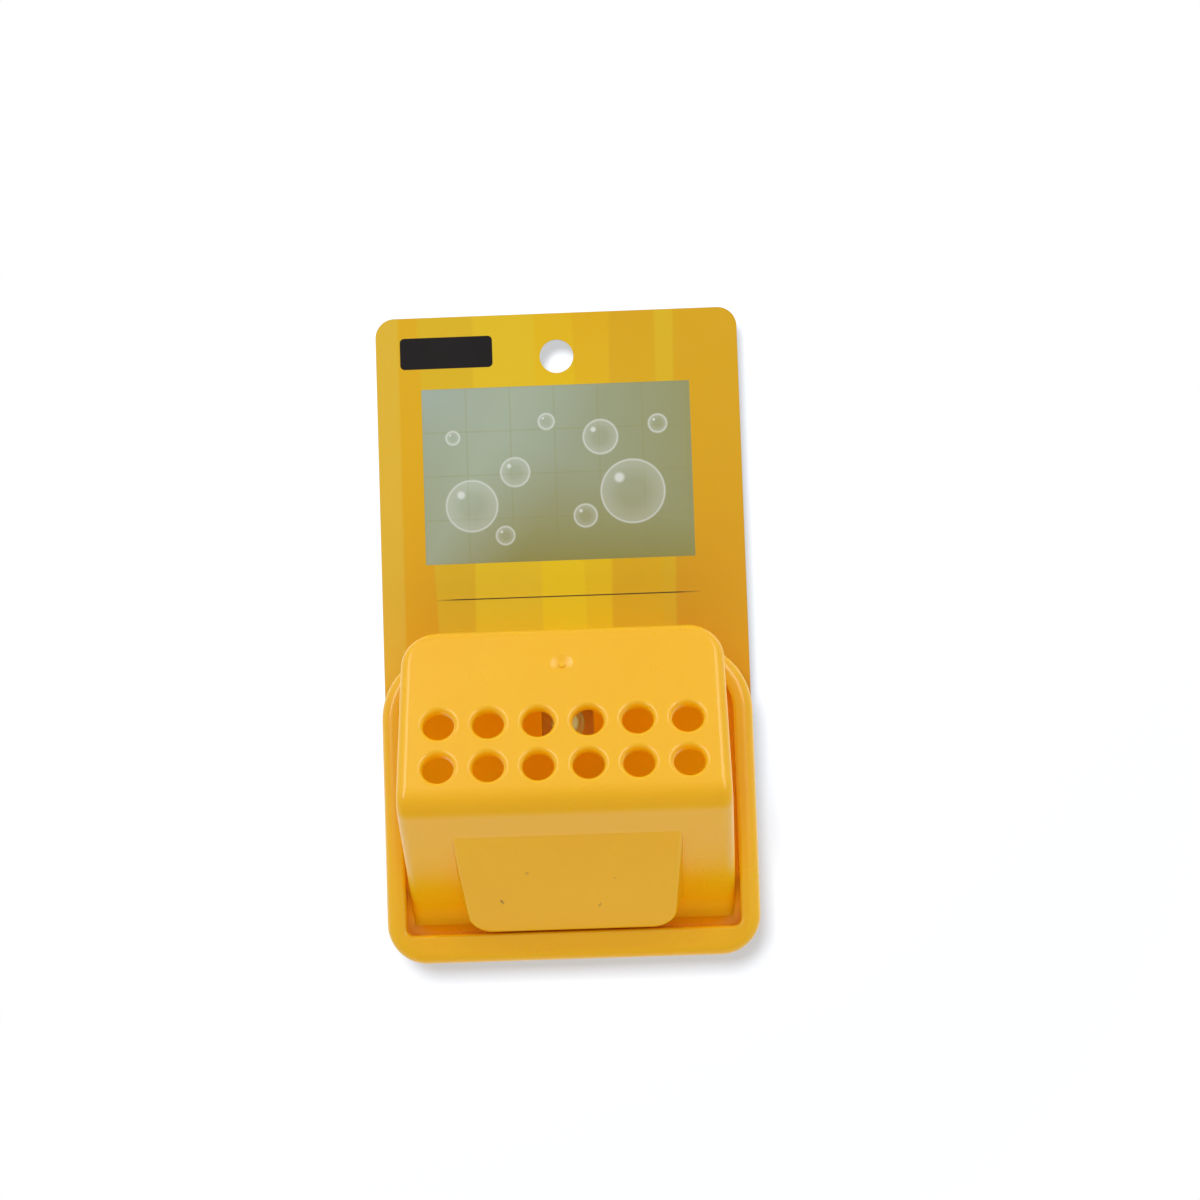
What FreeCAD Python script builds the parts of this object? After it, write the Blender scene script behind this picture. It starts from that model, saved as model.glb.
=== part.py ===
import FreeCAD, Part
import math
import os

os.makedirs("parts", exist_ok=True)
Vec = FreeCAD.Vector

# A sponge holder that hangs on a wall by one suction cup, still on its hang card.
# X runs to the right, the wall is the plane Y = 0 and the holder stands out
# towards -Y, and Z is up. The origin is the middle of the cup's face on the wall.
# All sizes are in millimetres and all angles in degrees.

# Gaps and overruns that the pieces share
running_gap = 0.2      # between pieces that turn on each other
snap_gap = 0.15        # round a snap tab in its slot
overrun = 5.0          # how far a cutting body passes the face that it cuts
least_corner = 0.4     # smallest corner that an inset outline may have
closeness = 0.02       # how near a face a point counts as lying on it

# Suction cup, clear soft plastic
cup_r = 20.0
cup_land = 2.6         # flat ring that seals on the wall
cup_lip = 1.1
cup_height = 9.0       # wall to shoulder
cup_hollow = 5.2
shoulder_r = 6.6
neck_r = 2.5
head_r = 4.3
head_thick = 3.4
head_round = 1.2
bell_radius_share = 0.42   # where the bell's curve passes, between shoulder and lip
bell_height_share = 0.40

# Hang card
card_side_inset = 0.25 # tray's side beyond the card's edge
card_height = 132.8
card_top = 107.2       # above the cup's axis
card_thick = 0.45
card_corner = 5.0
hang_hole_r = 4.4
hang_hole_drop = 11.4  # top edge to the middle of the hole
card_neck_gap = 0.4    # round the cup's neck

# Back tray
tray_width = 95.0
tray_height = 80.3
tray_top = 20.3        # above the cup's axis
tray_wall = 2.0
floor_thick = 2.2
rim_rise = 5.0         # crest of the rim ahead of the floor
rim_side = 5.4
rim_foot = 7.6
crest_inset = 0.5      # draft of the rim's outer wall over its whole depth
top_corner = 18.5
foot_corner = 10.5
floor_corner = 2.0     # lower corners of the floor
crest_round = 3.0
crest_inner_round = 0.9
seat_half = 6.65       # square recess that takes the cup's head
seat_corner = 1.0
seat_wall = 2.0
seat_cover = 0.6       # how deep the head lies below the floor

# Front pocket: a leaning plate, a bend and a wall back to the tray
plate_lean = 27.0
plate_length = 48.5    # top edge to the line where plate and wall would meet
plate_top = 23.6       # above the cup's axis
pocket_reach = 43.7    # same line, ahead of the tray's floor
wall_foot_rise = 5.8   # lower edge of the tray's floor to the wall's outer face
pocket_wall = 2.3
pocket_flange = 5.0    # depth of the edge that is turned in all round
foot_side_gap = 0.9    # side of the wall's foot to the tray's rim
side_draft = 1.05
bend_r = 6.0
foot_blend = 7.0       # hollow curve from the wall's outer face to the floor
foot_lip = 0.6         # lower edge of that curve, ahead of the floor
plate_corner = 9.0
edge_round = 2.6
hole_r = 3.8
hole_flare = 1.2
hole_rows = 2
hole_pitch = 12.0
hole_side_margin = 11.2  # outer column to the side of the wall's foot
row_pitch = 11.6
first_row_drop = 26.4  # top edge to the upper row, along the plate
gate_r = 2.75          # shallow dish round the moulding gate
gate_depth = 0.4
gate_drop = 10.9
nub_r = 0.75           # stub of the gate in the middle of the dish
nub_rise = 0.3
pad_side_inset = 13.4  # raised pad's side to the side of the wall's foot
pad_start = 31.0       # ahead of the floor, where the pad is flush with the wall
pad_rise = 5.4         # ahead of the floor, lower edge of the pad
pad_rim_gap = 0.3      # lower edge of the pad to the tray's rim
pad_corner = 6.0
pad_draft = 17.0
pad_round = 0.8
tab_side_inset = 7.7   # middle of a tab to the side of the wall's foot
tab_width = 8.0
tab_thick = 1.6
tab_inset = 0.9        # tab's lower face above the wall's outer face
hook_thick = 1.3
hook_catch = 0.8
hook_lead = 0.5

# Depths from the wall, worked out from the stack of pieces
card_back = cup_height + running_gap
card_front = card_back + card_thick
tray_back = card_front + running_gap
head_back = tray_back + seat_wall + running_gap
head_front = head_back + head_thick
floor_front = head_front + seat_cover
floor_back = floor_front - floor_thick
crest = floor_front + rim_rise

# Heights and widths worked out from the sizes above
tray_foot = tray_top - tray_height
floor_foot = tray_foot + rim_foot
floor_top = tray_top - rim_side
floor_half = tray_width / 2 - rim_side
pocket_foot = floor_foot + wall_foot_rise
foot_half = floor_half - foot_side_gap
pad_half = foot_half - pad_side_inset
tab_middle = foot_half - tab_side_inset
hole_half_span = foot_half - hole_side_margin
hole_columns = 1 + round(2 * hole_half_span / hole_pitch)
card_half = tray_width / 2 - card_side_inset


def outline(half, low, high, low_corner, high_corner, depth):
    """Closed outline with round corners, in the plane at a depth from the wall."""
    low_corner = max(low_corner, least_corner)
    high_corner = max(high_corner, least_corner)
    corners = [
        (half - low_corner, low + low_corner, low_corner, -90),
        (half - high_corner, high - high_corner, high_corner, 0),
        (high_corner - half, high - high_corner, high_corner, 90),
        (low_corner - half, low + low_corner, low_corner, 180),
    ]
    arcs = []
    for middle_x, middle_z, radius, start in corners:
        points = []
        for turn in (0, 45, 90):
            angle = math.radians(start + turn)
            x = middle_x + radius * math.cos(angle)
            z = middle_z + radius * math.sin(angle)
            points.append(Vec(x, -depth, z))
        arcs.append(points)
    edges = []
    for number, points in enumerate(arcs):
        following = arcs[(number + 1) % len(arcs)]
        edges.append(Part.Arc(*points).toShape())
        edges.append(Part.LineSegment(points[-1], following[0]).toShape())
    return Part.Wire(edges)


def prism(wire, depth):
    """Solid from an outline, run forward by a depth."""
    return Part.Face(wire).extrude(Vec(0, -depth, 0))


def on_plane(edge, depth):
    """True where an edge lies in the plane at a depth from the wall."""
    box = edge.BoundBox
    return abs(box.YMin + depth) < closeness and abs(box.YMax + depth) < closeness


def beside_floor(edge):
    """True where an edge of the rim's crest is on the floor's side of it."""
    middle = edge.CenterOfMass
    beyond = least_corner
    level = floor_foot - beyond < middle.z < floor_top + beyond
    return level and abs(middle.x) < floor_half + beyond


def make_suction_cup():
    """Soft bell with a sealing ring, a neck and a mushroom head, turned about Y."""
    bell_r = shoulder_r + bell_radius_share * (cup_r - shoulder_r)
    bell_depth = cup_lip + bell_height_share * (cup_height - cup_lip)
    land_r = cup_r - cup_land
    roof_r = (land_r ** 2 + cup_hollow ** 2) / (2 * cup_hollow)
    hollow_mid_r = land_r / 2
    hollow_mid = cup_hollow - roof_r + math.sqrt(roof_r ** 2 - hollow_mid_r ** 2)
    side = head_round * math.sqrt(0.5)
    lip = [Vec(land_r, 0, 0), Vec(cup_r, 0, 0), Vec(cup_r, -cup_lip, 0)]
    shoulder = Vec(shoulder_r, -cup_height, 0)
    neck = [Vec(neck_r, -cup_height, 0), Vec(neck_r, -head_back, 0)]
    head_low = [Vec(head_r - head_round, -head_back, 0), Vec(head_r, -head_back - head_round, 0)]
    head_high = [Vec(head_r, -head_front + head_round, 0), Vec(head_r - head_round, -head_front, 0)]
    low_mid = Vec(head_r - head_round + side, -head_back - head_round + side, 0)
    high_mid = Vec(head_r - head_round + side, -head_front + head_round - side, 0)
    tip = Vec(0, -head_front, 0)
    roof = Vec(0, -cup_hollow, 0)
    edges = [
        Part.LineSegment(lip[0], lip[1]),
        Part.LineSegment(lip[1], lip[2]),
        Part.Arc(lip[2], Vec(bell_r, -bell_depth, 0), shoulder),
        Part.LineSegment(shoulder, neck[0]),
        Part.LineSegment(neck[0], neck[1]),
        Part.LineSegment(neck[1], head_low[0]),
        Part.Arc(head_low[0], low_mid, head_low[1]),
        Part.LineSegment(head_low[1], head_high[0]),
        Part.Arc(head_high[0], high_mid, head_high[1]),
        Part.LineSegment(head_high[1], tip),
        Part.LineSegment(tip, roof),
        Part.Arc(roof, Vec(hollow_mid_r, -hollow_mid, 0), lip[0]),
    ]
    wire = Part.Wire([edge.toShape() for edge in edges])
    return Part.Face(wire).revolve(Vec(0, 0, 0), Vec(0, 1, 0), 360)


def make_backing_card():
    """Flat die-cut card with a hang hole and a hole for the cup's neck."""
    edge = outline(card_half, card_top - card_height, card_top, card_corner, card_corner, card_back)
    card = prism(edge, card_thick)
    hang_z = card_top - hang_hole_drop
    start = -card_back + overrun
    length = card_thick + overrun + overrun
    for radius, z in ((hang_hole_r, hang_z), (neck_r + card_neck_gap, 0)):
        card = card.cut(Part.makeCylinder(radius, length, Vec(0, start, z), Vec(0, -1, 0)))
    return card


def make_back_tray():
    """Moulded tray: a raised hollow rim round a floor, with a seat for the cup's head."""
    half = tray_width / 2
    rear = outline(half, tray_foot, tray_top, foot_corner, top_corner, tray_back)
    crest_line = outline(
        half - crest_inset,
        tray_foot + crest_inset,
        tray_top - crest_inset,
        foot_corner - crest_inset,
        top_corner - crest_inset,
        crest,
    )
    tray = Part.makeLoft([rear, crest_line], True, True)
    tray = tray.makeFillet(crest_round, [edge for edge in tray.Edges if on_plane(edge, crest)])
    floor_line = outline(floor_half, floor_foot, floor_top, floor_corner, top_corner - rim_side, floor_front)
    tray = tray.cut(prism(floor_line, rim_rise + overrun))
    inner_edges = [edge for edge in tray.Edges if on_plane(edge, crest) and beside_floor(edge)]
    tray = tray.makeFillet(crest_inner_round, inner_edges)

    inset = crest_inset + tray_wall
    hollow_line = outline(
        half - inset,
        tray_foot + inset,
        tray_top - inset,
        foot_corner - inset,
        top_corner - inset,
        tray_back - overrun,
    )
    hollow = prism(hollow_line, crest - tray_wall - tray_back + overrun)
    core_line = outline(
        floor_half + tray_wall,
        floor_foot - tray_wall,
        floor_top + tray_wall,
        floor_corner + tray_wall,
        top_corner - rim_side + tray_wall,
        floor_back,
    )
    hollow = hollow.cut(prism(core_line, rim_rise + floor_thick + overrun))
    tray = tray.cut(hollow)

    boss_half = seat_half + tray_wall
    boss_corner = seat_corner + tray_wall
    boss_line = outline(boss_half, -boss_half, boss_half, boss_corner, boss_corner, tray_back)
    tray = tray.fuse(prism(boss_line, floor_front - tray_back))
    seat_line = outline(seat_half, -seat_half, seat_half, seat_corner, seat_corner, tray_back + seat_wall)
    tray = tray.cut(prism(seat_line, floor_front - tray_back + overrun))
    neck_start = Vec(0, -tray_back + overrun, 0)
    neck_length = seat_wall + overrun + overrun
    tray = tray.cut(Part.makeCylinder(neck_r + running_gap, neck_length, neck_start, Vec(0, -1, 0)))

    low, high = tab_heights()
    for side in (-1, 1):
        slot_x = side * tab_middle - tab_width / 2 - snap_gap
        corner = Vec(slot_x, -floor_front - overrun, low - snap_gap)
        width = tab_width + snap_gap + snap_gap
        height = high - low + snap_gap + snap_gap
        tray = tray.cut(Part.makeBox(width, floor_thick + overrun + overrun, height, corner))
    return tray.removeSplitter()


# Side profile of the pocket. A place in it is a pair: ahead of the floor, and height.
lean_sin = math.sin(math.radians(plate_lean))
lean_cos = math.cos(math.radians(plate_lean))
bend_line = (pocket_reach, plate_top - plate_length * lean_cos)
top_line = (pocket_reach - plate_length * lean_sin, plate_top)
foot_line = (0, pocket_foot)
plate_up = (-lean_sin, lean_cos)
plate_in = (-lean_cos, -lean_sin)
wall_length = math.hypot(bend_line[0], bend_line[1] - pocket_foot)
wall_up = (bend_line[0] / wall_length, (bend_line[1] - pocket_foot) / wall_length)
wall_in = (-wall_up[1], wall_up[0])
mitre = 1 + plate_in[0] * wall_in[0] + plate_in[1] * wall_in[1]
mitre_in = ((plate_in[0] + wall_in[0]) / mitre, (plate_in[1] + wall_in[1]) / mitre)
fold = math.acos(-(plate_up[0] * wall_up[0] + plate_up[1] * wall_up[1]))


def along(place, *moves):
    """A place moved by lengths along directions, given as (direction, length) pairs."""
    ahead, height = place
    for direction, length in moves:
        ahead += direction[0] * length
        height += direction[1] * length
    return ahead, height


def at(place, x):
    """Point of the model for a place in the side profile."""
    return Vec(x, -floor_front - place[0], place[1])


def wall_at(depth, ahead):
    """Place on the wall, a depth inside its outer face and ahead of the floor."""
    start = along(foot_line, (wall_in, depth))
    return along(start, (wall_up, (ahead - start[0]) / wall_up[0]))


def bend_arc(depth, x):
    """Points that start, halve and end the bend at a depth inside the outer face."""
    radius = max(bend_r - depth, least_corner)
    corner = along(bend_line, (mitre_in, depth))
    middle = along(corner, (mitre_in, radius))
    out = math.hypot(corner[0] - middle[0], corner[1] - middle[1])
    outward = ((corner[0] - middle[0]) / out, (corner[1] - middle[1]) / out)
    reach = radius / math.tan(fold / 2)
    start = along(corner, (wall_up, -reach))
    halfway = along(middle, (outward, radius))
    end = along(corner, (plate_up, reach))
    return [at(place, x) for place in (start, halfway, end)]


def band(outer, inner, top_drop, foot_ahead, half):
    """Bent sheet between two depths inside the outer face, across the whole width."""
    outer_arc = bend_arc(outer, -half)
    inner_arc = bend_arc(inner, -half)
    outer_foot = at(wall_at(outer, foot_ahead), -half)
    inner_foot = at(wall_at(inner, foot_ahead), -half)
    outer_top = at(along(top_line, (plate_in, outer), (plate_up, -top_drop)), -half)
    inner_top = at(along(top_line, (plate_in, inner), (plate_up, -top_drop)), -half)
    edges = [
        Part.LineSegment(outer_foot, outer_arc[0]),
        Part.Arc(*outer_arc),
        Part.LineSegment(outer_arc[2], outer_top),
        Part.LineSegment(outer_top, inner_top),
        Part.LineSegment(inner_top, inner_arc[2]),
        Part.Arc(inner_arc[2], inner_arc[1], inner_arc[0]),
        Part.LineSegment(inner_arc[0], inner_foot),
        Part.LineSegment(inner_foot, outer_foot),
    ]
    wire = Part.Wire([edge.toShape() for edge in edges])
    return Part.Face(wire).extrude(Vec(half + half, 0, 0))


def half_width(place, inset):
    """Half width of the pocket at a place, with its moulding draft."""
    slope = math.tan(math.radians(side_draft))
    return foot_half - inset - slope * (place[0] + place[1] - pocket_foot)


def between_sides(inset):
    """Solid between the pocket's two drafted side planes."""
    low = pocket_foot - pocket_flange - overrun
    high = plate_top + overrun
    wires = []
    for ahead in (-overrun, pocket_reach + overrun):
        low_half = half_width((ahead, low), inset)
        high_half = half_width((ahead, high), inset)
        points = [
            at((ahead, low), -low_half),
            at((ahead, low), low_half),
            at((ahead, high), high_half),
            at((ahead, high), -high_half),
        ]
        wires.append(Part.makePolygon(points + points[:1]))
    return Part.makeLoft(wires, True, True)


def round_top_corners(sheet, radius, top_drop):
    """Round the two upper corners of a bent sheet in the plate's own plane."""
    top_edge = along(top_line, (plate_up, -top_drop))
    corners = []
    for edge in sheet.Edges:
        start, end = (vertex.Point for vertex in edge.Vertexes)
        ends = []
        for point in (start, end):
            ahead = -point.y - floor_front
            rise = (ahead - top_edge[0]) * plate_up[0] + (point.z - top_edge[1]) * plate_up[1]
            ends.append(abs(rise) < closeness)
        if all(ends) and start.x * end.x > 0:
            corners.append(edge)
    return sheet.makeFillet(radius, corners)


def depth_inside(point):
    """Depth of a point below the pocket's outer face, beside the plate or the wall."""
    ahead = -point.y - floor_front
    plate = (ahead - top_line[0]) * plate_in[0] + (point.z - top_line[1]) * plate_in[1]
    wall = (ahead - foot_line[0]) * wall_in[0] + (point.z - foot_line[1]) * wall_in[1]
    middle = along(bend_line, (mitre_in, bend_r))
    bend = bend_r - math.hypot(ahead - middle[0], point.z - middle[1])
    reach = bend_r / math.tan(fold / 2)
    up_plate = (ahead - bend_line[0]) * plate_up[0] + (point.z - bend_line[1]) * plate_up[1]
    down_wall = (bend_line[0] - ahead) * wall_up[0] + (bend_line[1] - point.z) * wall_up[1]
    if up_plate > reach:
        return plate
    if down_wall > reach:
        return wall
    return min(bend, plate, wall, key=abs)


def round_outer_edge(sheet):
    """Round the edge of the outer face along both sides and across the top."""
    edges = []
    for edge in sheet.Edges:
        first, last = edge.ParameterRange
        places = [edge.valueAt(first), edge.valueAt((first + last) / 2), edge.valueAt(last)]
        middle = places[1]
        across = abs(middle.x) < closeness and middle.z < plate_top - closeness
        if not across and all(abs(depth_inside(place)) < closeness for place in places):
            edges.append(edge)
    return sheet.makeFillet(edge_round, edges)


def foot_curve():
    """Middle of the hollow curve at the wall's foot, and its places from the lip up to the wall."""
    corner = wall_at(0, foot_lip)
    half_turn = math.acos(-wall_up[1]) / 2
    reach = foot_blend / math.tan(half_turn)
    lip = (corner[0], corner[1] - reach)
    middle = (lip[0] + foot_blend, lip[1])
    out = math.hypot(corner[0] - middle[0], corner[1] - middle[1])
    towards = ((corner[0] - middle[0]) / out, (corner[1] - middle[1]) / out)
    halfway = along(middle, (towards, foot_blend))
    return middle, (lip, halfway, along(corner, (wall_up, reach)))


def below_curve(half):
    """Block of the sheet's foot that the curved foot takes the place of."""
    start = foot_curve()[1][2]
    outer = along(start, (wall_in, -overrun))
    inner = along(start, (wall_in, pocket_flange + overrun))
    places = [outer, inner, along(inner, (wall_up, -wall_length)), along(outer, (wall_up, -wall_length))]
    points = [at(place, -half) for place in places]
    return Part.Face(Part.makePolygon(points + points[:1])).extrude(Vec(half + half, 0, 0))


def curved_foot(half):
    """Foot of the wall, spread on the floor in a hollow curve and rounded at both sides."""
    middle, (lip, halfway, start) = foot_curve()
    inner = along(start, (wall_in, pocket_flange))
    rear = wall_at(pocket_flange, -edge_round)
    under = (-edge_round, lip[1])
    points = [at(place, -half) for place in (start, inner, rear, under, lip)]
    edges = [Part.Arc(points[-1], at(halfway, -half), points[0])]
    for first, last in zip(points, points[1:]):
        edges.append(Part.LineSegment(first, last))
    wire = Part.Wire([edge.toShape() for edge in edges])
    foot = Part.Face(wire).extrude(Vec(half + half, 0, 0)).common(between_sides(0))
    sides = []
    for edge in foot.Edges:
        first, last = edge.ParameterRange
        place = edge.valueAt((first + last) / 2)
        away = math.hypot(-place.y - floor_front - middle[0], place.z - middle[1])
        if abs(away - foot_blend) < closeness and abs(place.x) > closeness:
            sides.append(edge)
    foot = foot.makeFillet(edge_round, sides)
    behind = Vec(-half, -floor_front, tray_foot)
    return foot.cut(Part.makeBox(half + half, edge_round + overrun, tray_height, behind))


def pad_profile():
    """Start and direction of the pad's face in the side profile, and its length."""
    start = wall_at(0, pad_start)
    end = (pad_rise, floor_foot + pad_rim_gap)
    length = math.hypot(end[0] - start[0], end[1] - start[1])
    down = ((end[0] - start[0]) / length, (end[1] - start[1]) / length)
    return start, down, length


def pad_taper():
    """How far each side of the pad's face draws in along it, so that its foot on the wall is straight."""
    down = pad_profile()[1]
    apart = math.acos(-(down[0] * wall_up[0] + down[1] * wall_up[1]))
    return math.tan(math.radians(pad_draft)) * math.sin(apart)


def pad_outline(grow, depth):
    """Outline of the pad with round lower corners, a depth inside its face."""
    start, down, length = pad_profile()
    inward = (down[1], -down[0])
    origin = along(start, (inward, depth))
    taper = pad_taper()
    tilt = math.atan(taper)
    half = pad_half + grow
    low = length + grow
    corner = pad_corner + grow
    corner_low = low - corner
    corner_x = half - taper * (corner_low + corner * math.sin(tilt)) - corner * math.cos(tilt)

    def point(x, distance):
        return at(along(origin, (down, distance)), x)

    def on_corner(turn):
        return point(corner_x + corner * math.cos(turn), corner_low + corner * math.sin(turn))

    upper_half = half + taper * overrun
    upper = [point(-upper_half, -overrun), point(upper_half, -overrun)]
    square = math.radians(90)
    right = [on_corner(tilt), on_corner((tilt + square) / 2), on_corner(square)]
    left = [Vec(-place.x, place.y, place.z) for place in reversed(right)]
    edges = [
        Part.LineSegment(upper[0], upper[1]),
        Part.LineSegment(upper[1], right[0]),
        Part.Arc(*right),
        Part.LineSegment(right[2], left[0]),
        Part.Arc(*left),
        Part.LineSegment(left[2], upper[0]),
    ]
    return Part.Wire([edge.toShape() for edge in edges])


def pad_block(inset):
    """Solid that grows inward from the pad's face, with the draft of its sides."""
    depth = pocket_flange + pocket_foot - floor_foot + overrun + overrun
    slope = math.tan(math.radians(pad_draft))
    face = pad_outline(-inset, inset)
    root = pad_outline(slope * depth - inset, inset + depth)
    return Part.makeLoft([face, root], True, True)


def under_wall(depth, foot_ahead):
    """Prism of everything ahead of the floor and outside a depth in the wall."""
    far = pocket_reach - bend_r
    low = tray_foot
    places = [wall_at(depth, foot_ahead), wall_at(depth, far), (far, low), (foot_ahead, low)]
    points = [at(place, -foot_half) for place in places]
    return Part.Face(Part.makePolygon(points + points[:1])).extrude(Vec(foot_half + foot_half, 0, 0))


def tab_heights():
    """Lower and upper face of the snap tabs."""
    low = pocket_foot + tab_inset
    return low, low + tab_thick


def snap_tab(middle):
    """Tab that goes back through the tray's floor and hooks behind it."""
    low, high = tab_heights()
    catch = -floor_thick - snap_gap
    end = catch - hook_thick
    places = [
        (tab_inset, low),
        (end, low),
        (end, high - hook_lead),
        (catch, high + hook_catch),
        (catch, high),
        (tab_inset, high),
    ]
    points = [at(place, middle - tab_width / 2) for place in places]
    return Part.Face(Part.makePolygon(points + points[:1])).extrude(Vec(tab_width, 0, 0))


def flared_hole():
    """Cutting body of one drain hole: a bore with a rounded mouth, turned about Z."""
    mouth_r = hole_r + hole_flare
    side = hole_flare * math.sqrt(0.5)
    low = -pocket_wall - overrun
    arc_mid = Vec(mouth_r - side, 0, side - hole_flare)
    edges = [
        Part.LineSegment(Vec(0, 0, low), Vec(hole_r, 0, low)),
        Part.LineSegment(Vec(hole_r, 0, low), Vec(hole_r, 0, -hole_flare)),
        Part.Arc(Vec(hole_r, 0, -hole_flare), arc_mid, Vec(mouth_r, 0, 0)),
        Part.LineSegment(Vec(mouth_r, 0, 0), Vec(mouth_r, 0, overrun)),
        Part.LineSegment(Vec(mouth_r, 0, overrun), Vec(0, 0, overrun)),
        Part.LineSegment(Vec(0, 0, overrun), Vec(0, 0, low)),
    ]
    wire = Part.Wire([edge.toShape() for edge in edges])
    return Part.Face(wire).revolve(Vec(0, 0, 0), Vec(0, 0, 1), 360)


def gate_dish():
    """Cutting body of the gate mark: a shallow dish that leaves a stub, turned about Z."""
    dish_r = (gate_r ** 2 + gate_depth ** 2) / (2 * gate_depth)

    def on_dish(radius):
        return Vec(radius, 0, dish_r - gate_depth - math.sqrt(dish_r ** 2 - radius ** 2))

    stub = on_dish(nub_r)
    stub_top = stub.z + nub_rise
    edges = [
        Part.LineSegment(Vec(0, 0, stub_top), Vec(nub_r, 0, stub_top)),
        Part.LineSegment(Vec(nub_r, 0, stub_top), stub),
        Part.Arc(stub, on_dish((nub_r + gate_r) / 2), on_dish(gate_r)),
        Part.LineSegment(on_dish(gate_r), Vec(gate_r, 0, overrun)),
        Part.LineSegment(Vec(gate_r, 0, overrun), Vec(0, 0, overrun)),
        Part.LineSegment(Vec(0, 0, overrun), Vec(0, 0, stub_top)),
    ]
    wire = Part.Wire([edge.toShape() for edge in edges])
    return Part.Face(wire).revolve(Vec(0, 0, 0), Vec(0, 0, 1), 360)


def on_plate(body, x, drop):
    """Copy of a body made about Z, set square on the plate's outer face."""
    copy = body.copy()
    outward = Vec(0, -lean_cos, lean_sin)
    turn = FreeCAD.Rotation(Vec(0, 0, 1), outward)
    copy.Placement = FreeCAD.Placement(at(along(top_line, (plate_up, -drop)), x), turn)
    return copy


def make_front_pocket():
    """Moulded front: a holed plate, a bend and a wall with a hollow raised pad."""
    width = foot_half + overrun
    sheet = band(0, pocket_flange, 0, 0, width).common(between_sides(0))
    sheet = round_top_corners(sheet, plate_corner, 0)
    sheet = round_outer_edge(sheet)
    sheet = sheet.cut(below_curve(width)).fuse(curved_foot(width))
    inside = band(pocket_wall, pocket_flange + overrun, pocket_wall, -overrun, width)
    inside = inside.common(between_sides(pocket_wall))
    inside = round_top_corners(inside, plate_corner - pocket_wall, pocket_wall)
    pocket = sheet.cut(inside)

    pad = pad_block(0)
    face_edges = []
    start, down, length = pad_profile()
    face_point = at(start, 0)
    face_normal = Vec(0, down[1], down[0])
    for edge in pad.Edges:
        ends = [vertex.Point for vertex in edge.Vertexes]
        on_face = all(abs((end - face_point).dot(face_normal)) < closeness for end in ends)
        below = any((end - face_point).z < 0 for end in ends)
        if on_face and below:
            face_edges.append(edge)
    pad = pad.makeFillet(pad_round, face_edges)
    pad = pad.common(under_wall(pocket_wall / 2, 0))
    pocket = pocket.fuse(pad)
    pocket = pocket.cut(pad_block(pocket_wall))

    for side in (-1, 1):
        pocket = pocket.fuse(snap_tab(side * tab_middle))

    cutters = []
    hole = flared_hole()
    for row in range(hole_rows):
        for column in range(hole_columns):
            x = (column - (hole_columns - 1) / 2) * hole_pitch
            cutters.append(on_plate(hole, x, first_row_drop + row * row_pitch))
    cutters.append(on_plate(gate_dish(), 0, gate_drop))
    return pocket.cut(cutters).removeSplitter()


pieces = {
    "suction_cup": make_suction_cup(),
    "backing_card": make_backing_card(),
    "back_tray": make_back_tray(),
    "front_pocket": make_front_pocket(),
}
for name, piece in pieces.items():
    solids = piece.Solids
    box = piece.optimalBoundingBox()
    print(name, "solids", len(solids), "valid", piece.isValid(), "volume", round(piece.Volume, 1))
    print("  x", round(box.XMin, 2), round(box.XMax, 2), "y", round(box.YMin, 2), round(box.YMax, 2))
    print("  z", round(box.ZMin, 2), round(box.ZMax, 2))
    piece.exportStep("parts/" + name + ".step")
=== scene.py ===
import math

import bpy
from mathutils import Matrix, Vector


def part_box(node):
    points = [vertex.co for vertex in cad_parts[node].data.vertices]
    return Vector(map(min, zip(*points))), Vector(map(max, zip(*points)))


# A wall sponge holder, still on its hang card. Sizes are in metres, the wall is the plane Y = 0,
# the holder stands out towards -Y and Z is up.
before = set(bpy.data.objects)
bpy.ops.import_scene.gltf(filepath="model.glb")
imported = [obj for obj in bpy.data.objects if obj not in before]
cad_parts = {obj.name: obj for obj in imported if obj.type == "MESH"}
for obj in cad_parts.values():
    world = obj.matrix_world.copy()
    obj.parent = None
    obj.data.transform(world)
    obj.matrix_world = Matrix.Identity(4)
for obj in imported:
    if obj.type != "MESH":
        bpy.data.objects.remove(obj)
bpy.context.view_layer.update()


# Suction cup: a soft bell with a sealing ring, a neck and a mushroom head, moulded in one piece
# from clear vinyl. Its head is pressed through the tray, and the bell sticks to the wall.
mm = 0.001
vinyl_colour = (0.80, 0.83, 0.72, 1)
# The head's warm yellow is painted light: the orange glow of the yellow seat round the clear head.
head_painted_seat_glow_colour = (0.95, 0.78, 0.16, 1)
vinyl_gloss = {"Transmission Weight": 0.72, "IOR": 1.53, "Specular IOR Level": 0.5}
vinyl_haze = (0.10, 0.18)
cloud_range_shares = (0.15, 0.85)
vinyl_cloud = 3.5 * mm
vinyl_ripple = 5 * mm
vinyl_ripple_depth = 0.03 * mm
head_reach = 4.5 * mm
head_fade = 1.5 * mm


def start_finish(name, node, settings):
    """New finish on a solid of the frame: gives its node tree, its shader and places on the piece."""
    finish = bpy.data.materials.new(name)
    finish.use_nodes = True
    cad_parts[node].material_slots[0].material = finish
    tree = finish.node_tree
    shader = tree.nodes["Principled BSDF"]
    for socket, value in settings.items():
        shader.inputs[socket].default_value = value
    places = tree.nodes.new("ShaderNodeTexCoord").outputs["Object"]
    return tree, shader, places


def grain(tree, places, size, detail=2.0):
    """Cloudy value whose patches are about a size across."""
    cloud = tree.nodes.new("ShaderNodeTexNoise")
    cloud.inputs["Scale"].default_value = 1 / size
    cloud.inputs["Detail"].default_value = detail
    tree.links.new(places, cloud.inputs["Vector"])
    return cloud.outputs["Fac"]


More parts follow.
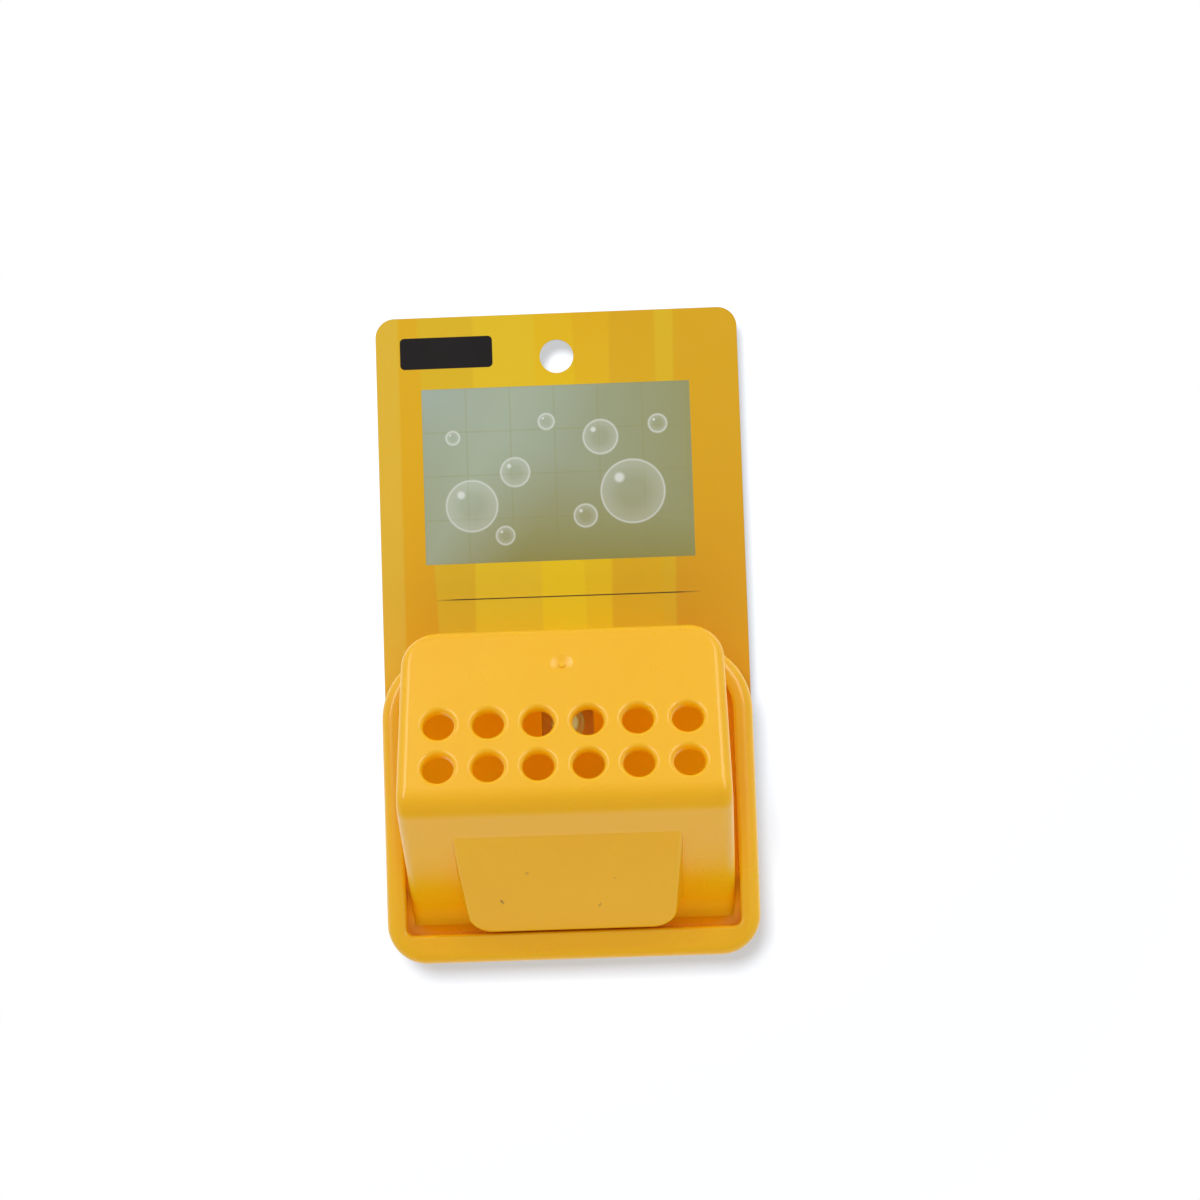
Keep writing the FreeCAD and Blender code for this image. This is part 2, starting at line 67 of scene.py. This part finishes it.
def spread(tree, value, start, end, low=0.0, high=1.0):
    """Value moved from one range to another, and held at the ends."""
    stretch = tree.nodes.new("ShaderNodeMapRange")
    limits = {"From Min": start, "From Max": end, "To Min": low, "To Max": high}
    for socket, limit in limits.items():
        stretch.inputs[socket].default_value = limit
    tree.links.new(value, stretch.inputs["Value"])
    return stretch.outputs["Result"]


def relief(tree, height, depth):
    """Fine unevenness of a surface."""
    uneven = tree.nodes.new("ShaderNodeBump")
    uneven.inputs["Distance"].default_value = depth
    tree.links.new(height, uneven.inputs["Height"])
    return uneven.outputs["Normal"]


def tint(tree, share, under, over, way="MIX"):
    """Colour laid over another by a share."""
    layer = tree.nodes.new("ShaderNodeMix")
    layer.data_type = "RGBA"
    layer.blend_type = way
    sockets = (layer.inputs[0], layer.inputs[6], layer.inputs[7])
    for socket, value in zip(sockets, (share, under, over)):
        if isinstance(value, (int, float, tuple)):
            socket.default_value = value
        else:
            tree.links.new(value, socket)
    return layer.outputs[2]


def split(tree, places):
    """Sideways, inward and upward values of places."""
    axes = tree.nodes.new("ShaderNodeSeparateXYZ")
    tree.links.new(places, axes.inputs["Vector"])
    return axes.outputs["X"], axes.outputs["Y"], axes.outputs["Z"]


vinyl, vinyl_shader, vinyl_places = start_finish("clear_vinyl_finish", "suction_cup", vinyl_gloss)
head_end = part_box("suction_cup")[0].y + head_reach
vinyl_inward = split(vinyl, vinyl_places)[1]
in_head = spread(vinyl, vinyl_inward, head_end, head_end - head_fade)
# Painted light: the head is tinted with the seat's orange glow, while the bell stays clear.
vinyl_tint_with_painted_glow = tint(vinyl, in_head, vinyl_colour, head_painted_seat_glow_colour)
vinyl.links.new(vinyl_tint_with_painted_glow, vinyl_shader.inputs["Base Color"])
vinyl_clouds = grain(vinyl, vinyl_places, vinyl_cloud)
vinyl_dull = spread(vinyl, vinyl_clouds, *cloud_range_shares, *vinyl_haze)
vinyl.links.new(vinyl_dull, vinyl_shader.inputs["Roughness"])
vinyl_ripples = grain(vinyl, vinyl_places, vinyl_ripple, detail=0.0)
vinyl.links.new(relief(vinyl, vinyl_ripples, vinyl_ripple_depth), vinyl_shader.inputs["Normal"])


# Hang card: coated board, printed on the front in stripes of yellow and orange and die-cut, with a
# round hole for a shop hook. The cup's neck goes through it, behind the tray.
card_low, card_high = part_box("backing_card")
pale_ink = (0.83, 0.525, 0.032, 1)
straw_ink = (0.80, 0.515, 0.012, 1)
lemon_ink = (0.85, 0.568, 0.013, 1)
gold_ink = (0.86, 0.525, 0.005, 1)
honey_ink = (0.835, 0.480, 0.005, 1)
amber_ink = (0.785, 0.440, 0.007, 1)
# Toward the foot the middle stripes are painted lighter and greener, as painted light from the
# pocket's plate; the side stripes turn more orange.
foot_middle_painted_light_tint = (1.13, 1.42, 1.4, 1)
foot_side_tint = (1.0, 0.86, 1.1, 1)
pale_foot_share = 0.8
stripe_blur_share = 0.004
stripe_shares = (
    (0.062, 0.062, 1.0, honey_ink),
    (0.115, 0.165, 0.7, straw_ink),
    (0.270, 0.250, 0.5, lemon_ink),
    (0.440, 0.440, 0.0, gold_ink),
    (0.545, 0.565, 0.0, honey_ink),
    (0.648, 0.625, 0.4, amber_ink),
    (0.772, 0.772, 0.8, straw_ink),
    (0.825, 0.800, 1.0, amber_ink),
)
label_ink = (0.008, 0.006, 0.006, 1)
label_middle = (18.4 * mm, 9.45 * mm)
label_half = (12.1 * mm, 4.15 * mm)
label_corner = 1.2 * mm
panel_middle = (46.6 * mm, 42 * mm)
panel_half = (35 * mm, 23 * mm)
panel_corner = 0.2 * mm
panel_high_ink = (0.41, 0.50, 0.43, 1)
panel_low_ink = (0.33, 0.32, 0.10, 1)
panel_glow_ink = (0.44, 0.52, 0.40, 1)
panel_side_share = 0.8
glow_lean_share = 0.35
glow_middle_share = 0.36
glow_reach_share = 0.34
glow_share = 0.75
tile_pitch = 11.5 * mm
tile_joint = 0.35 * mm
tile_joint_share = 0.3
bubbles = (
    (24.0 * mm, 50.0 * mm, 6.6 * mm),
    (35.5 * mm, 41.5 * mm, 3.7 * mm),
    (32.5 * mm, 58.0 * mm, 2.3 * mm),
    (58.0 * mm, 33.0 * mm, 4.4 * mm),
    (66.0 * mm, 47.5 * mm, 8.2 * mm),
    (53.5 * mm, 53.5 * mm, 2.9 * mm),
    (73.0 * mm, 30.0 * mm, 2.3 * mm),
    (44.0 * mm, 28.5 * mm, 2.0 * mm),
    (19.5 * mm, 32.0 * mm, 1.7 * mm),
)
bubble_line = 0.45 * mm
bubble_ink = (0.80, 0.85, 0.80, 1)
bubble_rim_share = 0.8
bubble_core_share = 0.4
bubble_fill_shares = (0.3, 0.08)
spark_place_shares = (-0.42, 0.45)
spark_size_shares = (0.22, 0.1)
spark_share = 0.9
rule_middle = (48.5 * mm, 74.3 * mm)
rule_half = (34.5 * mm, 0.16 * mm)
rule_corner = 0.1 * mm
rule_ink = (0.10, 0.065, 0.012, 1)
rule_middle_share = 0.51
rule_fade_shares = (0.37, 0.30)
print_edge = 0.06 * mm
board_colour = (0.66, 0.64, 0.59, 1)
fibre_colour = (0.45, 0.43, 0.38, 1)
board_fibre = 0.35 * mm
board_fibre_depth = 0.006 * mm
fibre_range_shares = (0.3, 0.7)
ink_fibre_shares = (0.0, 0.02)
bare_fibre_shares = (0.0, 0.25)
coat_depth = 0.03 * mm
coat_cloud = 6 * mm
coat_range_shares = (0.3, 0.7)
card_gloss = {"IOR": 1.48, "Specular IOR Level": 0.15}
coated_sheen = (0.36, 0.46)
bare_sheen = 0.85
upright = (1.0, 0.0, 1.0)


def calc(tree, operation, *values):
    """Sum worked out in the finish from numbers and sockets."""
    sum_node = tree.nodes.new("ShaderNodeMath")
    sum_node.operation = operation
    for socket, value in zip(sum_node.inputs, values):
        if isinstance(value, (int, float)):
            socket.default_value = value
        else:
            tree.links.new(value, socket)
    return sum_node.outputs["Value"]


def calc_place(tree, operation, *values):
    """Place worked out in the finish from fixed places and sockets."""
    sum_node = tree.nodes.new("ShaderNodeVectorMath")
    sum_node.operation = operation
    for socket, value in zip(sum_node.inputs, values):
        if isinstance(value, (tuple, Vector)):
            socket.default_value = value
        else:
            tree.links.new(value, socket)
    outlet = "Value" if operation in ("LENGTH", "DISTANCE", "DOT_PRODUCT") else "Vector"
    return sum_node.outputs[outlet]


def on_card(offset):
    """Place on the card's front for an offset from its left and top edges."""
    return Vector((card_low.x + offset[0], 0, card_high.z - offset[1]))


def inside_box(tree, flat, middle, half, corner, blur):
    """Share that is 1 inside an upright box with round corners and 0 outside it."""
    away = calc_place(tree, "ABSOLUTE", calc_place(tree, "SUBTRACT", flat, middle))
    core = Vector((half[0] - corner, 1, half[1] - corner))
    past = calc_place(tree, "MAXIMUM", calc_place(tree, "SUBTRACT", away, core), (0.0, 0.0, 0.0))
    return spread(tree, calc_place(tree, "LENGTH", past), corner + blur, corner - blur)


def printed_box(middle, half, corner):
    """Share of ink in a box printed on the card."""
    return inside_box(card, flat_card, on_card(middle), half, corner, print_edge)


card, card_shader, card_places = start_finish("printed_card_finish", "backing_card", card_gloss)
card_x, card_y, card_z = split(card, card_places)
flat_card = calc_place(card, "MULTIPLY", card_places, upright)
across = spread(card, card_x, card_low.x, card_high.x)
down = spread(card, card_z, card_high.z, 0.0)
fibres = grain(card, card_places, board_fibre, detail=3.0)
ink = pale_ink
foot_share = pale_foot_share
for top_edge_share, foot_edge_share, stripe_foot_share, stripe_ink in stripe_shares:
    stripe_edge = calc(card, "MULTIPLY_ADD", down, foot_edge_share - top_edge_share, top_edge_share)
    past_edge = calc(card, "SUBTRACT", across, stripe_edge)
    stripe = spread(card, past_edge, -stripe_blur_share, stripe_blur_share)
    ink = tint(card, stripe, ink, stripe_ink)
    foot_share = calc(card, "ADD", calc(card, "MULTIPLY", stripe, stripe_foot_share),
                      calc(card, "MULTIPLY", calc(card, "SUBTRACT", 1.0, stripe), foot_share))
# Foot tint: painted light on the middle stripes near the pocket, more orange on the side stripes.
foot_tint_with_painted_light = tint(card, foot_share, foot_middle_painted_light_tint, foot_side_tint)
ink = tint(card, down, ink, tint(card, 1.0, ink, foot_tint_with_painted_light, "MULTIPLY"))
ink_fibres = spread(card, fibres, *fibre_range_shares, *ink_fibre_shares)
ink = tint(card, ink_fibres, ink, board_colour)

panel_left = card_low.x + panel_middle[0] - panel_half[0]
panel_top = card_high.z - panel_middle[1] + panel_half[1]
panel_down = spread(card, card_z, panel_top, panel_top - 2 * panel_half[1])
panel_across = spread(card, card_x, panel_left, panel_left + 2 * panel_half[0])
panel_side = calc(card, "MULTIPLY", panel_across, panel_side_share)
panel_shade = calc(card, "MAXIMUM", panel_down, panel_side)
panel_ink = tint(card, panel_shade, panel_high_ink, panel_low_ink)
glow_across = calc(card, "MULTIPLY_ADD", panel_down, glow_lean_share, panel_across)
from_glow = calc(card, "ABSOLUTE", calc(card, "SUBTRACT", glow_across, glow_middle_share))
glow = spread(card, from_glow, glow_reach_share, 0.0, 0.0, glow_share)
panel_ink = tint(card, glow, panel_ink, panel_glow_ink)
joints = 0.0
for axis, start in ((card_x, panel_left), (card_z, panel_top)):
    rows = calc(card, "PINGPONG", calc(card, "SUBTRACT", axis, start), tile_pitch / 2)
    joint = spread(card, rows, tile_joint, 0.0, 0.0, tile_joint_share)
    joints = calc(card, "MAXIMUM", joint, joints)
panel_ink = tint(card, joints, panel_ink, panel_low_ink)
rings = 0.0
for bubble_across, bubble_drop, bubble_r in bubbles:
    middle = on_card((bubble_across, bubble_drop))
    from_middle = calc_place(card, "DISTANCE", flat_card, middle)
    past_rim = calc(card, "ABSOLUTE", calc(card, "SUBTRACT", from_middle, bubble_r))
    rim = spread(card, past_rim, bubble_line, 0.0, 0.0, bubble_rim_share)
    inside = spread(card, from_middle, bubble_r, bubble_core_share * bubble_r, *bubble_fill_shares)
    filled = calc(card, "MULTIPLY", inside, calc(card, "LESS_THAN", from_middle, bubble_r))
    spark_x, spark_z = [share * bubble_r for share in spark_place_shares]
    spark_edge, spark_core = [share * bubble_r for share in spark_size_shares]
    from_spark = calc_place(card, "DISTANCE", flat_card, middle + Vector((spark_x, 0, spark_z)))
    spark = spread(card, from_spark, spark_edge, spark_core, 0.0, spark_share)
    for layer in (rim, filled, spark):
        rings = calc(card, "MAXIMUM", layer, rings)
panel_ink = tint(card, rings, panel_ink, bubble_ink)
ink = tint(card, printed_box(panel_middle, panel_half, panel_corner), ink, panel_ink)
ink = tint(card, printed_box(label_middle, label_half, label_corner), ink, label_ink)
from_rule_middle = calc(card, "ABSOLUTE", calc(card, "SUBTRACT", across, rule_middle_share))
rule_fade = spread(card, from_rule_middle, *rule_fade_shares)
rule = calc(card, "MULTIPLY", printed_box(rule_middle, rule_half, rule_corner), rule_fade)
ink = tint(card, rule, ink, rule_ink)

printed = spread(card, card_y, card_low.y + 2 * coat_depth, card_low.y + coat_depth)
bare_fibres = spread(card, fibres, *fibre_range_shares, *bare_fibre_shares)
board = tint(card, bare_fibres, board_colour, fibre_colour)
card.links.new(tint(card, printed, board, ink), card_shader.inputs["Base Color"])
coat_clouds = grain(card, card_places, coat_cloud)
sheen = spread(card, coat_clouds, *coat_range_shares, *coated_sheen)
bare = calc(card, "SUBTRACT", 1.0, printed)
card_dull = calc(card, "MULTIPLY_ADD", bare, bare_sheen - coated_sheen[0], sheen)
card.links.new(card_dull, card_shader.inputs["Roughness"])
card.links.new(relief(card, fibres, board_fibre_depth), card_shader.inputs["Normal"])


# Back tray: a floor inside a raised, rounded rim, injection moulded in yellow plastic with a satin
# face. It is pushed over the cup's head, and turns on the cup's neck.
tray_front_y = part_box("back_tray")[0].y
plastic_colour = (1.0, 0.54, 0.004, 1)
plastic_deep_colour = (0.985, 0.51, 0.003, 1)
# The hollow colour is painted shade in the tray's hollow, and it tints the shine there as a painted
# reflection.
plastic_painted_hollow_colour = (1.0, 0.41, 0.001, 1)
plastic_gloss = {
    "IOR": 1.49,
    "Specular IOR Level": 0.42,
    "Subsurface Weight": 0.4,
    "Subsurface Radius": (1.0, 0.7, 0.3),
    "Subsurface Scale": 2 * mm,
}
plastic_sheen = (0.26, 0.32)
plain_shine = (1.0, 1.0, 1.0, 1)
rim_height = 5 * mm
floor_y = tray_front_y + rim_height
hollow_depth = 4.5 * mm
hollow_heights = (-13 * mm, -1 * mm)
hollow_shares = (0.5, 1.0)
floor_middle = Vector((0, 0, -18.75 * mm))
floor_half = (42.1 * mm, 33.65 * mm)
floor_corner = 8 * mm
floor_blur = 1 * mm
seat_fade = (0.3 * mm, 1.5 * mm)
colour_cloud = 22 * mm
sheen_cloud = 14 * mm
mould_wave = 16 * mm
mould_wave_depth = 0.05 * mm


def satin_plastic(name, node):
    """Yellow plastic with painted shade and painted reflections in the tray's hollow: gives its tree,
    shader, places and colour.
    """
    tree, shader, places = start_finish(name, node, plastic_gloss)
    patches = spread(tree, grain(tree, places, colour_cloud), *cloud_range_shares)
    colour = tint(tree, patches, plastic_colour, plastic_deep_colour)
    inward, upward = split(tree, places)[1:]
    flat_places = calc_place(tree, "MULTIPLY", places, upright)
    hollow = inside_box(tree, flat_places, floor_middle, floor_half, floor_corner, floor_blur)
    near_floor = spread(tree, inward, floor_y - hollow_depth, floor_y)
    hollow = calc(tree, "MULTIPLY", hollow, near_floor)
    seat_start, seat_end = seat_fade
    before_seat = spread(tree, inward, floor_y + seat_end, floor_y + seat_start)
    hollow = calc(tree, "MULTIPLY", hollow, before_seat)
    # Painted shade: the plastic turns deeper orange in the hollow behind the plate, more so higher
    # up.
    hollow_shade = calc(tree, "MULTIPLY", hollow, spread(tree, upward, *hollow_heights, *hollow_shares))
    colour = tint(tree, hollow_shade, colour, plastic_painted_hollow_colour)
    # Painted reflection: the shine in the hollow is tinted orange instead of white.
    shine = tint(tree, hollow, plain_shine, plastic_painted_hollow_colour)
    tree.links.new(shine, shader.inputs["Specular Tint"])
    gloss = spread(tree, grain(tree, places, sheen_cloud), *cloud_range_shares, *plastic_sheen)
    waves = relief(tree, grain(tree, places, mould_wave, detail=0.0), mould_wave_depth)
    tree.links.new(colour, shader.inputs["Base Color"])
    tree.links.new(gloss, shader.inputs["Roughness"])
    tree.links.new(waves, shader.inputs["Normal"])
    return tree, shader, places, colour


satin_plastic("tray_plastic", "back_tray")


# Front pocket: a leaning plate with two rows of drain holes, bent to a wall with a raised pad, and
# moulded in the same plastic. Two tabs at its foot snap through the tray's floor.
scuff_colour = (0.16, 0.07, 0.03, 1)
scuffs = (
    (-17.2 * mm, -44.0 * mm, 1.0 * mm, 0.36 * mm, 50, 0.95),
    (-10.4 * mm, -36.8 * mm, 0.75 * mm, 0.45 * mm, -30, 0.45),
    (6.9 * mm, -45.6 * mm, 0.85 * mm, 0.34 * mm, -55, 0.65),
    (11.0 * mm, -38.7 * mm, 0.6 * mm, 0.35 * mm, 20, 0.25),
)
scuff_fade_shares = (1.0, 0.2)
scuff_grain = 0.25 * mm
scuff_break_shares = (0.3, 0.5)
pocket, pocket_shader, pocket_places, pocket_colour = satin_plastic("pocket_plastic", "front_pocket")
marks = 0.0
for mark_x, mark_z, long_half, short_half, turn, strength in scuffs:
    mapping = pocket.nodes.new("ShaderNodeMapping")
    mapping.vector_type = "TEXTURE"
    mapping.inputs["Location"].default_value = (mark_x, 0, mark_z)
    mapping.inputs["Rotation"].default_value = (0, math.radians(turn), 0)
    mapping.inputs["Scale"].default_value = (long_half, 1, short_half)
    pocket.links.new(pocket_places, mapping.inputs["Vector"])
    flat_mark = calc_place(pocket, "MULTIPLY", mapping.outputs["Vector"], upright)
    from_mark = calc_place(pocket, "LENGTH", flat_mark)
    mark = spread(pocket, from_mark, *scuff_fade_shares, 0.0, strength)
    marks = calc(pocket, "MAXIMUM", mark, marks)
broken = spread(pocket, grain(pocket, pocket_places, scuff_grain), *scuff_break_shares)
marked_colour = tint(pocket, calc(pocket, "MULTIPLY", marks, broken), pocket_colour, scuff_colour)
pocket.links.new(marked_colour, pocket_shader.inputs["Base Color"])


# Stage: a white wall behind the cup, in place of a floor, as the holder hangs on it. It keeps the
# shadow near the holder, fades to plain white further out, and can be seen through from behind.
wall_gap = 0.3 * mm
wall_reach = 2.5
wall_colour = (0.21, 0.22, 0.24, 1)
wall_lift = 0.46
wall_middle = Vector((0, 0, 22 * mm))
shadow_room = (125 * mm, 180 * mm)
wall_corners = [
    (-wall_reach, wall_gap, -wall_reach),
    (wall_reach, wall_gap, -wall_reach),
    (wall_reach, wall_gap, wall_reach),
    (-wall_reach, wall_gap, wall_reach),
]


def seen_by(tree, rays, kinds):
    """Share that is 1 for rays of the named kinds."""
    seen_share = 0.0
    for kind in kinds:
        seen_share = calc(tree, "MAXIMUM", rays.outputs[kind], seen_share)
    return seen_share


wall_mesh = bpy.data.meshes.new("wall")
wall_mesh.from_pydata(wall_corners, [], [(0, 1, 2, 3)])
wall = bpy.data.objects.new("wall", wall_mesh)
bpy.context.scene.collection.objects.link(wall)
wall_paint = bpy.data.materials.new("wall_paint")
wall_paint.use_nodes = True
wall_paint.cycles.emission_sampling = "NONE"
wall_mesh.materials.append(wall_paint)
paint = wall_paint.node_tree
paint.nodes.remove(paint.nodes["Principled BSDF"])
matt = paint.nodes.new("ShaderNodeBsdfDiffuse")
matt.inputs["Color"].default_value = wall_colour
lift = paint.nodes.new("ShaderNodeEmission")
lit = paint.nodes.new("ShaderNodeAddShader")
paint.links.new(matt.outputs["BSDF"], lit.inputs[0])
paint.links.new(lift.outputs["Emission"], lit.inputs[1])
rays = paint.nodes.new("ShaderNodeLightPath")
seen = seen_by(paint, rays, ("Is Camera Ray", "Is Transmission Ray", "Is Glossy Ray"))
paint.links.new(calc(paint, "MULTIPLY", seen, wall_lift), lift.inputs["Strength"])
wall_places = paint.nodes.new("ShaderNodeTexCoord").outputs["Object"]
far = spread(paint, calc_place(paint, "DISTANCE", wall_places, wall_middle), *shadow_room)
white = paint.nodes.new("ShaderNodeEmission")
faded = paint.nodes.new("ShaderNodeMixShader")
paint.links.new(calc(paint, "MULTIPLY", far, seen), faded.inputs["Fac"])
paint.links.new(lit.outputs["Shader"], faded.inputs[1])
paint.links.new(white.outputs["Emission"], faded.inputs[2])
clear = paint.nodes.new("ShaderNodeBsdfTransparent")
behind = paint.nodes.new("ShaderNodeNewGeometry").outputs["Backfacing"]
one_way = paint.nodes.new("ShaderNodeMixShader")
paint.links.new(calc(paint, "MAXIMUM", behind, rays.outputs["Is Shadow Ray"]), one_way.inputs["Fac"])
paint.links.new(faded.outputs["Shader"], one_way.inputs[1])
paint.links.new(clear.outputs["BSDF"], one_way.inputs[2])
paint.links.new(one_way.outputs["Shader"], paint.nodes["Material Output"].inputs["Surface"])


# Light: white all round, a soft lamp high up at each side, a weaker one low in front, two behind the
# wall for the back of the holder, and one that lights only the wall. Two tall panels are there only
# for the shine on the rounded edges.
room_light = 0.55
bright_way = (0.0, 0.6, 0.8)
shine_way_shares = (-0.9, 0.0)
shine_shares = (0.4, 1.0)
lamps = (
    ("left_lamp", (-0.71, -0.41, 0.88), (0.6, 0.6), 4.0),
    ("right_lamp", (0.71, -0.41, 0.88), (0.6, 0.6), 3.7),
    ("foot_lamp", (0.0, -0.80, -0.70), (0.6, 0.6), 2.1),
    ("wall_lamp", (-0.14, -1.20, 0.27), (0.28, 0.28), 34.0),
    ("rear_left_lamp", (-0.7, 0.9, 0.45), (0.6, 0.6), 7.5),
    ("rear_right_lamp", (0.7, 0.9, 0.25), (0.6, 0.6), 7.5),
    ("left_panel", (-0.57, -0.87, 0.60), (0.3, 1.2), 8.0),
    ("right_panel", (0.57, -0.87, 0.60), (0.3, 1.2), 8.0),
)
shine_panels = ("left_panel", "right_panel")
foot_lamp_colour = (1.0, 0.92, 0.82)
lamp_aim = Vector((0, -0.02, 0.02))
world = bpy.data.worlds.new("room")
world.use_nodes = True
bpy.context.scene.world = world
room = world.node_tree
room_rays = room.nodes.new("ShaderNodeLightPath")
room_seen = seen_by(room, room_rays, ("Is Camera Ray", "Is Transmission Ray"))
room_ways = room.nodes.new("ShaderNodeTexCoord").outputs["Generated"]
brightness = calc_place(room, "DOT_PRODUCT", room_ways, bright_way)
shine = spread(room, brightness, *shine_way_shares, *shine_shares)
shine = calc(room, "MULTIPLY", shine, room_rays.outputs["Is Glossy Ray"])
soft = calc(room, "MULTIPLY", room_rays.outputs["Is Diffuse Ray"], room_light)
room.nodes["Background"].inputs["Color"].default_value = (1, 1, 1, 1)
room_strength = calc(room, "MAXIMUM", calc(room, "MAXIMUM", room_seen, shine), soft)
room.links.new(room_strength, room.nodes["Background"].inputs["Strength"])
lit_by_wall_lamp = bpy.data.collections.new("lit_by_wall_lamp")
lit_by_wall_lamp.objects.link(wall)
lit_by_others = bpy.data.collections.new("lit_by_others")
lit_by_others.objects.link(wall)
lit_by_others.collection_objects[0].light_linking.link_state = "EXCLUDE"
for lamp_name, lamp_place, lamp_size, lamp_power in lamps:
    glow_panel = bpy.data.lights.new(lamp_name, "AREA")
    glow_panel.shape = "RECTANGLE"
    glow_panel.size, glow_panel.size_y = lamp_size
    glow_panel.energy = lamp_power
    lamp = bpy.data.objects.new(lamp_name, glow_panel)
    lamp.location = lamp_place
    lamp.rotation_euler = (lamp_aim - lamp.location).to_track_quat("-Z", "Y").to_euler()
    lamp.visible_camera = False
    lamp.visible_diffuse = lamp_name not in shine_panels
    lamp.visible_glossy = lamp_name in shine_panels
    lit_things = lit_by_wall_lamp if lamp_name == "wall_lamp" else lit_by_others
    lamp.light_linking.receiver_collection = lit_things
    bpy.context.scene.collection.objects.link(lamp)
bpy.data.lights["foot_lamp"].color = foot_lamp_colour


# Camera: in front of the holder, a little below its middle and looking slightly up.
camera_place = (19.77 * mm, -577.62 * mm, -9.49 * mm)
camera_turn = (94.134, 1.955, 1.208)
camera_lens = 65.93
camera_sensor = 36
lens = bpy.data.cameras.new("camera")
lens.lens = camera_lens
lens.sensor_width = camera_sensor
camera = bpy.data.objects.new("camera", lens)
camera.location = camera_place
camera.rotation_euler = [math.radians(angle) for angle in camera_turn]
bpy.context.scene.collection.objects.link(camera)
bpy.context.scene.camera = camera
bpy.context.scene.view_settings.view_transform = "Standard"
